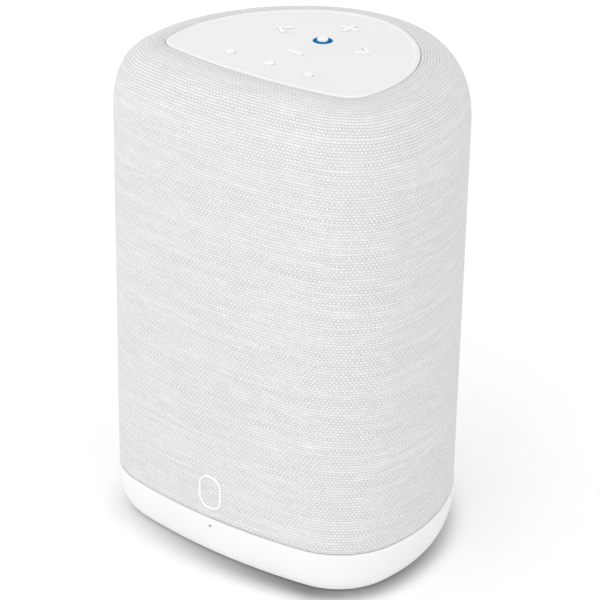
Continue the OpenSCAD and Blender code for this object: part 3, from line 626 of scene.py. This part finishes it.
def make_light_ring():
    """The blue lens round the hub, with its foot in the flange's groove."""
    top, shelf, edge = FIELD_Z + 0.15, GROOVE_Z + 0.7, 0.12
    bm = bmesh.new()
    lathe(bm, [(PLAY_HUB_R, GROOVE_Z), (GROOVE_R, GROOVE_Z), (GROOVE_R, shelf), (PLAY_R, shelf),
               (PLAY_R, top - edge), (PLAY_R - 0.04, top - 0.04), (PLAY_R - edge, top), (PLAY_HUB_R, top)],
          96, Matrix.Translation((*PLAY, 0)))
    obj = new_object("light_ring_lens", bm, "play_button")
    obj.data.materials.append(blue_light())
    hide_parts("light_ring")


def make_panel():
    """The panel: a rounded rim, a cove down to the flat field, and an opening for each key."""
    columns, _ = plan_columns(COLUMNS)
    high, wide = 0.8, 1.1
    outer = [(PANEL_Z, PANEL_IN), (BODY_H - high, PANEL_IN)]
    outer += [(BODY_H - high + high * math.sin(t), PANEL_IN + wide * (1 - math.cos(t)))
              for t in quarter_turn(10)[1:]]
    cove = [(BODY_H - FIELD_DROP * (0.5 - 0.5 * math.cos(t)), PANEL_IN + 1.7 + 0.6 * t / math.pi)
            for t in np.linspace(0, math.pi, 9)]
    flat = [(FIELD_Z, PANEL_IN + 3.0)]
    bm = bmesh.new()
    add_rings(bm, plan_rings(outer + cove + flat, columns), True, True)
    obj = new_object("key_panel", bm)
    obj.data.materials.append(WHITE_PANEL)
    low, high = PANEL_Z - 1, BODY_H + 1
    holes = bmesh.new()
    for _, _, strokes, half, at, facing, _, _ in KEYS:
        rings = symbol_rings(strokes, half + KEY_CLEAR, at, facing, [(low, 0), (high, 0)])
        add_rings(holes, rings, True, True, fan=True)
    play_hole = PLAY_R + KEY_CLEAR
    lathe(holes, [(0, low), (play_hole, low), (play_hole, high), (0, high)],
          96, Matrix.Translation((*PLAY, 0)), closed=False)
    cut(obj, holes)
    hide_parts("top_panel")


for key in KEYS:
    make_key(*key)
make_play_key()
make_light_ring()
make_panel()


# ---- badge: a plain rounded loop on the fabric ----

def front_point(x, z, out):
    """Point on the fabric's front, moved out by this much along the plan's normal."""
    reach = FRONT_R - HEM_IN
    angle = math.asin(x / reach)
    reach += out
    return Vector((reach * math.sin(angle), FRONT_R - BODY_D / 2 - reach * math.cos(angle), z))


def make_badge():
    """The loop: a round-edged section, given as (aside, out) points, swept along its path."""
    half_w, half_h, r, stroke, centre_z = 5.2, 6.7, 4.6, 0.9, BASE_H + 10.8
    right = [(0.2, 0.45), (0.32, 0.42), (0.41, 0.34), (0.45, 0.22), (0.45, -0.15)]
    section = [(-aside, out) for aside, out in reversed(right)] + right
    path = []
    for quarter, (sx, sz) in enumerate(((1, 1), (-1, 1), (-1, -1), (1, -1))):
        for t in quarter_turn(17) + quarter * math.pi / 2:
            path.append((sx * (half_w - r), sz * (half_h - r), math.cos(t), math.sin(t)))
    rings = []
    for aside, out in section:
        reach = r - stroke / 2 + aside
        rings.append([front_point(x + reach * c, centre_z + z + reach * s, out) for x, z, c, s in path])
    bm = bmesh.new()
    add_rings(bm, rings, closed=True)
    obj = new_object("badge_loop", bm)
    white_badge = grained("white_badge", grey(0.79), grey(0.81), 0.35, grain=4000.0, depth=0.000004)
    obj.data.materials.append(white_badge)
    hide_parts("front_badge")


make_badge()


# ---- finishes of the carried-over nodes ----

def metal(name, low, high, roughness, stretch=(1, 1, 30), lines=120.0, depth=0.000006):
    """Plated or machined metal: fine grain over cloudy gloss.

    An axis with a stretch above 1 gets its grain as fine lines across that axis.
    """
    g = Graph(name, Metallic=1.0)
    place = g.place()
    x, y, z = g.split(place)
    drawn = g.noise(g.join(x * stretch[0], y * stretch[1], z * stretch[2]), lines, 4.0, 0.6)
    cloud = g.noise(place, 160.0, 3.0)
    g.colour(g.mix(cloud, low, high))
    g.roughness(g.span(drawn + cloud, 0.6, 1.4, roughness - 0.08, roughness + 0.1))
    g.bump(drawn, depth)
    return g.material


def circuit_board():
    """Solder mask over copper tracks, with rows of tinned pads.

    Boards lie flat or stand upright, so that y + z runs across either kind.
    """
    track_pitch, pad_pitch = 0.0011, 0.00254
    g = Graph("circuit_board", roughness=0.35)
    place = g.place()
    x, y, z = g.split(place)
    across = y + z
    lane = across / track_pitch
    track = g.span((lane.do("FRACT") - 0.5).do("ABSOLUTE"), 0.16, 0.22)
    run = g.noise(g.join(x * 90.0, lane.do("FLOOR") * 3.7), 1.0, 1.0)
    track = (track * -1.0 + 1.0) * g.span(run, 0.46, 0.5)
    pad_x, pad_y = x / pad_pitch, across / pad_pitch
    fx, fy = pad_x.do("FRACT") - 0.5, pad_y.do("FRACT") - 0.5
    round_pad = g.span((fx * fx + fy * fy).do("SQRT"), 0.17, 0.21, 1.0, 0.0)
    pick = g.noise(g.join(pad_x.do("FLOOR") * 5.3, pad_y.do("FLOOR") * 4.1), 1.0, 1.0)
    pad = round_pad * g.span(pick, 0.56, 0.58)
    mask = g.mix(g.noise(place, 400.0), (0.012, 0.11, 0.05, 1), (0.016, 0.14, 0.065, 1))
    g.colour(g.mix(pad, g.mix(track, mask, (0.03, 0.24, 0.11, 1)), (0.62, 0.60, 0.55, 1)))
    g.put(g.shader.inputs["Metallic"], pad)
    g.bump(track * 0.4 + pad, 0.00004)
    return g.material


def banded(name, axis, pitch, low, high, roughness, depth, **uniform):
    """Windings, tape turns or film tracks: rounded bands across one axis."""
    g = Graph(name, **uniform)
    place = g.place()
    turn = g.split(place)[axis] * (math.pi / pitch)
    ridge = turn.do("SINE").do("ABSOLUTE")
    drift = g.noise(place, 260.0, 3.0)
    # The colour is darker where the bands meet: painted shade between the turns of windings and tape, and
    # the tracks' own pattern on film.
    g.colour(g.mix(g.span(ridge * 0.7 + drift * 0.6, 0.2, 1.0), low, high))
    g.roughness(g.span(drift, 0.3, 0.7, roughness - 0.05, roughness + 0.07))
    g.bump(ridge + drift * 0.2, depth)
    return g.material


def cloth(name, thread, low, high, depth):
    """Coarse impregnated cloth, woven in the x-z plane."""
    g = Graph(name, roughness=0.75)
    place = g.place()
    x, _, z = g.split(place)
    woven = (x * (math.pi / thread)).do("SINE") * (z * (math.pi / thread)).do("SINE")
    drift = g.noise(place, 300.0, 3.0)
    g.colour(g.mix(g.span(woven * 0.5 + drift, 0.0, 1.0), low, high))
    g.bump(woven * 0.5 + drift * 0.4, depth)
    return g.material


def speckled(name, low, high, roughness, size, depth, **uniform):
    """Pressed, sintered or foamed stuff: visible flecks with matching bumps."""
    g = Graph(name, roughness=roughness, **uniform)
    place = g.place()
    fleck = g.noise(place, size, 5.0, 0.7)
    g.colour(g.mix(g.span(fleck, 0.35, 0.68), low, high))
    g.roughness(g.span(fleck, 0.3, 0.7, roughness - 0.08, roughness + 0.08))
    g.bump(fleck, depth)
    return g.material


FINISHES = {
    "white_shell": WHITE_SHELL,
    "dark_plastic": DARK_PLASTIC_AND_HOLE_SHADE,
    "black_parts": grained("black_parts", grey(0.012), grey(0.022), 0.4, grain=1800.0, depth=0.000015),
    "enclosure_plastic": grained("enclosure_plastic", grey(0.03), grey(0.045), 0.55,
                                 grain=1200.0, depth=0.00003),
    "rubber": speckled("rubber", grey(0.018), grey(0.035), 0.8, 1600.0, 0.00003),
    "screw_steel": metal("screw_steel", grey(0.48), grey(0.6), 0.32, (1, 1, 1), 900.0),
    "basket_steel": speckled("basket_steel", grey(0.03), grey(0.055), 0.5, 2600.0, 0.00002),
    "zinc_steel": metal("zinc_steel", (0.55, 0.56, 0.60, 1), (0.68, 0.69, 0.72, 1), 0.34),
    "circuit_board": circuit_board(),
    "led_chips": speckled("led_chips", (0.85, 0.82, 0.55, 1), (0.95, 0.93, 0.75, 1),
                          0.3, 2500.0, 0.000008),
    "flex_film": banded("flex_film", 0, 0.0008, (0.42, 0.19, 0.03, 1), (0.65, 0.36, 0.1, 1),
                        0.3, 0.00002),
    "spider_cloth": cloth("spider_cloth", 0.0005, (0.42, 0.31, 0.1, 1), (0.66, 0.54, 0.26, 1),
                          0.00008),
    "cone_paper": speckled("cone_paper", grey(0.025), grey(0.07), 0.85, 1100.0, 0.00007),
    "copper_coil": banded("copper_coil", 1, 0.0003, (0.45, 0.16, 0.06, 1), (0.85, 0.42, 0.2, 1),
                          0.3, 0.00005, Metallic=1.0),
    "ferrite": speckled("ferrite", grey(0.04), grey(0.085), 0.5, 2200.0, 0.00003),
    "dome_metal": metal("dome_metal", grey(0.66), grey(0.74), 0.25, (1, 1, 1), 700.0, 0.000002),
    "lead_insulation": grained("lead_insulation", (0.38, 0.02, 0.02, 1), (0.5, 0.035, 0.03, 1), 0.45),
    "heat_sink_aluminium": metal("heat_sink_aluminium", grey(0.5), grey(0.6), 0.38,
                                 (1, 1, 24), 90.0, 0.00001),
    "transformer_tape": banded("transformer_tape", 2, 0.0042, (0.6, 0.44, 0.05, 1),
                               (0.8, 0.66, 0.16, 1), 0.35, 0.0001),
    "insert_brass": metal("insert_brass", (0.6, 0.42, 0.14, 1), (0.78, 0.6, 0.26, 1), 0.28, (1, 30, 1)),
}
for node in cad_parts.values():
    for place in node.material_slots:
        finish = FINISHES.get(place.material.name.split(".")[0])
        if finish:
            place.material = finish


# ---- screws and socket contacts seen at the back and underneath ----

def cross_ring(reach, half, z):
    """Outline of a cross with arms of this reach and half width."""
    corner = [(reach, -half), (reach, half), (half, half)]
    ring = []
    for quarter in range(4):
        turn = Matrix.Rotation(quarter * math.pi / 2, 2)
        ring += [(*(turn @ Vector(p)), z) for p in corner]
    return ring


def make_screws(node, places, head_r, head_h, shank_r, shank_l):
    """Pan head screws with a cross recess and a thread. Each place turns +Z out of the head."""
    half_pitch, groove, tip, rim = 0.3, 0.25, 0.8, 0.45
    thread = [(shank_r - (groove if i % 2 else 0), -shank_l + tip + half_pitch * i)
              for i in range(int((shank_l - 1.2) / half_pitch))]
    dome = [(head_r * math.cos(t), head_h * (rim + (1 - rim) * math.sin(t)))
            for t in quarter_turn(9)[:-1]]
    outline = [(0, -shank_l), (0.4, -shank_l), *thread, (shank_r, 0), (head_r - 0.1, 0), (head_r, 0.1),
               *dome, (0, head_h)]
    cross = [cross_ring(0.5, 0.16, head_h - 0.75), cross_ring(1.35, 0.32, head_h + 0.05)]
    screws, recesses = bmesh.new(), bmesh.new()
    for place in places:
        lathe(screws, outline, 32, place, closed=False)
        rows = add_rings(recesses, cross, True, True)
        bmesh.ops.transform(recesses, matrix=place, verts=[v for row in rows for v in row])
    obj = new_object(node + "_turned", screws)
    obj.data.materials.append(FINISHES["screw_steel"])
    cut(obj, recesses)
    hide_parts(node)


def make_contacts():
    """Eight sprung wires in the network socket."""
    socket_x, pitch, wire_r, count = -9.5, 1.02, 0.2, 8
    path = [(45.5, 72.3), (44.5, 72.2), (38.6, 69.2), (36.2, 68.9)]
    around = np.linspace(0, 2 * math.pi, 8, endpoint=False)
    bm = bmesh.new()
    for i in range(count):
        x = socket_x + (i - (count - 1) / 2) * pitch
        rings = [[(x + wire_r * math.cos(t), y, z + wire_r * math.sin(t)) for t in around]
                 for y, z in path]
        add_rings(bm, rings, True, True)
    obj = new_object("ethernet_contacts", bm)
    obj.data.materials.append(FINISHES["insert_brass"])


REAR_SCREWS = [
    Matrix.Translation((x, REAR_SCREW_FLOOR, z)) @ Matrix.Rotation(-math.pi / 2, 4, "X")
    for x in REAR_SCREW_XS for z in REAR_SCREW_ZS]
BASE_SCREWS = [
    Matrix.Translation((*plan_point(math.radians(angle), BASE_BOSS_IN), BASE_SCREW_Z))
    @ Matrix.Rotation(math.pi, 4, "X")
    for angle in BASE_BOSS_ANGLES]
make_screws("rear_panel_screws", REAR_SCREWS, 2.7, 1, 1.2, 9)
make_screws("base_screws", BASE_SCREWS, 2.6, 1, 1.45, 12)
make_contacts()


# ---- stage, light and camera ----

# The painted shade round the base, put into the floor's colour for camera rays: how pale the floor is at
# each distance in millimetres from the foot of the base, and how strong the shade is at each direction
# from the middle, in degrees from +X.
CONTACT = [(0, 0.33), (2.6, 0.25), (5.2, 0.34), (7.5, 0.52),
           (10, 0.73), (12.2, 0.88), (14.5, 0.96), (17, 1)]
SHADE_ROUND = [(-180, 0), (-125, 0.25), (-88, 0.62), (-50, 0.97),
               (-38, 0.78), (0, 0.62), (60, 0.3), (180, 0)]
# inset of that foot, and how much closer in the shade stays on the +X side
FOOT_IN, SHADE_TIGHTER = 5.7, 0.5


def make_stage():
    """Floor in rings that follow the plan outline, so that the soft painted shade can follow it too."""
    columns, _ = plan_columns(160)
    insets = [30, 12, 8, *(FOOT_IN - d for d in np.arange(0, 26, 1.0)),
              -30, -60, -150, -500, -2000, -6000]
    bm = bmesh.new()
    layer = bm.verts.layers.float.new("contact")
    rows = add_rings(bm, plan_rings([(0, inset) for inset in insets], columns), cap_low=True)
    for inset, row in zip(insets, rows):
        for vert in row:
            side = math.atan2(vert.co.y, vert.co.x)
            tighter = 1 + SHADE_TIGHTER * max(0, math.cos(side)) ** 2
            pale = np.interp((FOOT_IN - inset) * tighter, *zip(*CONTACT))
            vert[layer] = 1 - (1 - pale) * np.interp(math.degrees(side), *zip(*SHADE_ROUND))
    obj = new_object("floor", bm)
    g = Graph("floor_paper", roughness=0.9, Specular_IOR_Level=0.1)
    place = g.place()
    seen = g.node("LightPath", {}, 0)
    # Painted shade: camera rays see the floor darkened by the contact attribute, other rays see it evenly
    # pale.
    pale = seen * (g.node("Attribute", {}, 2, attribute_name="contact") - 1.0) + 1.0
    g.colour(g.mix(pale, grey(0), g.mix(g.noise(place, 30.0), grey(0.91), grey(0.93))))
    g.bump(g.noise(place, 900.0), 0.00003)
    obj.data.materials.append(g.material)
    obj.parent = None


# brightness all round, overhead and of the band near the horizon
SKY_BASE, SKY_TOP, SKY_BAND = 0.3, 1.40, 1.64
# how the band gains, and the overhead light leans, along x and y
SKY_TOWARDS, SKY_LEAN = (-0.06, -0.24), (0.04, -0.10)


def make_world():
    """White studio light from a procedural sky."""
    world = bpy.data.worlds.new("studio")
    world.use_nodes = True
    tree = world.node_tree
    g = Nodes(tree)
    x, y, z = g.split(g.node("TexCoord", {}, "Generated"))
    side = x * SKY_TOWARDS[0] + y * SKY_TOWARDS[1]
    sky = (z + x * SKY_LEAN[0] + y * SKY_LEAN[1]).do("MAXIMUM", 0.0) * z.do("GREATER_THAN", 0.0)
    band = g.span(z, 0.10, 0.42, 1.0, 0.0) * SKY_BAND
    level = sky * sky * SKY_TOP + band * (side + 1.0) + SKY_BASE
    background = tree.nodes["Background"]
    background.inputs["Color"].default_value = (1, 1, 1, 1)
    g.put(background.inputs["Strength"], level)
    bpy.context.scene.world = world


def area_light(name, at, aim, size, watts):
    light = bpy.data.lights.new(name, "AREA")
    light.shape, light.size, light.energy = "DISK", size, watts
    obj = bpy.data.objects.new(name, light)
    obj.location = at
    obj.rotation_euler = (Vector(aim) - Vector(at)).to_track_quat("-Z", "Y").to_euler()
    bpy.context.scene.collection.objects.link(obj)


def make_camera():
    """The photo's camera: seen from an azimuth and elevation, with a slight turn of its own."""
    azimuth, elevation, distance, lens = math.radians(37.548), math.radians(25.474), 943.17, 156.798
    yaw, pitch, roll = math.radians(-0.167), math.radians(0.3746), math.radians(-1.124)
    back = Vector((math.sin(azimuth) * math.cos(elevation), -math.cos(azimuth) * math.cos(elevation),
                   math.sin(elevation)))
    right = (-back).cross(Vector((0, 0, 1))).normalized()
    level = Matrix((right, back.cross(right), back))
    turn = Matrix.Rotation(roll, 3, "Z") @ Matrix.Rotation(pitch, 3, "X") @ Matrix.Rotation(yaw, 3, "Y")
    world = (turn @ level).transposed().to_4x4()
    world.translation = (Vector((0, 0, BODY_H / 2)) + back * distance) * MM
    data = bpy.data.cameras.new("camera")
    data.sensor_width, data.lens = 36, lens
    data.clip_start, data.clip_end = 0.01, 30
    obj = bpy.data.objects.new("camera", data)
    obj.matrix_world = world
    bpy.context.scene.collection.objects.link(obj)
    bpy.context.scene.camera = obj


make_stage()
make_world()
area_light("key", (0.2, -1.6, 1.5), (0, 0, 0.09), 1.2, 3)
make_camera()
bpy.context.scene.view_settings.view_transform = "Standard"
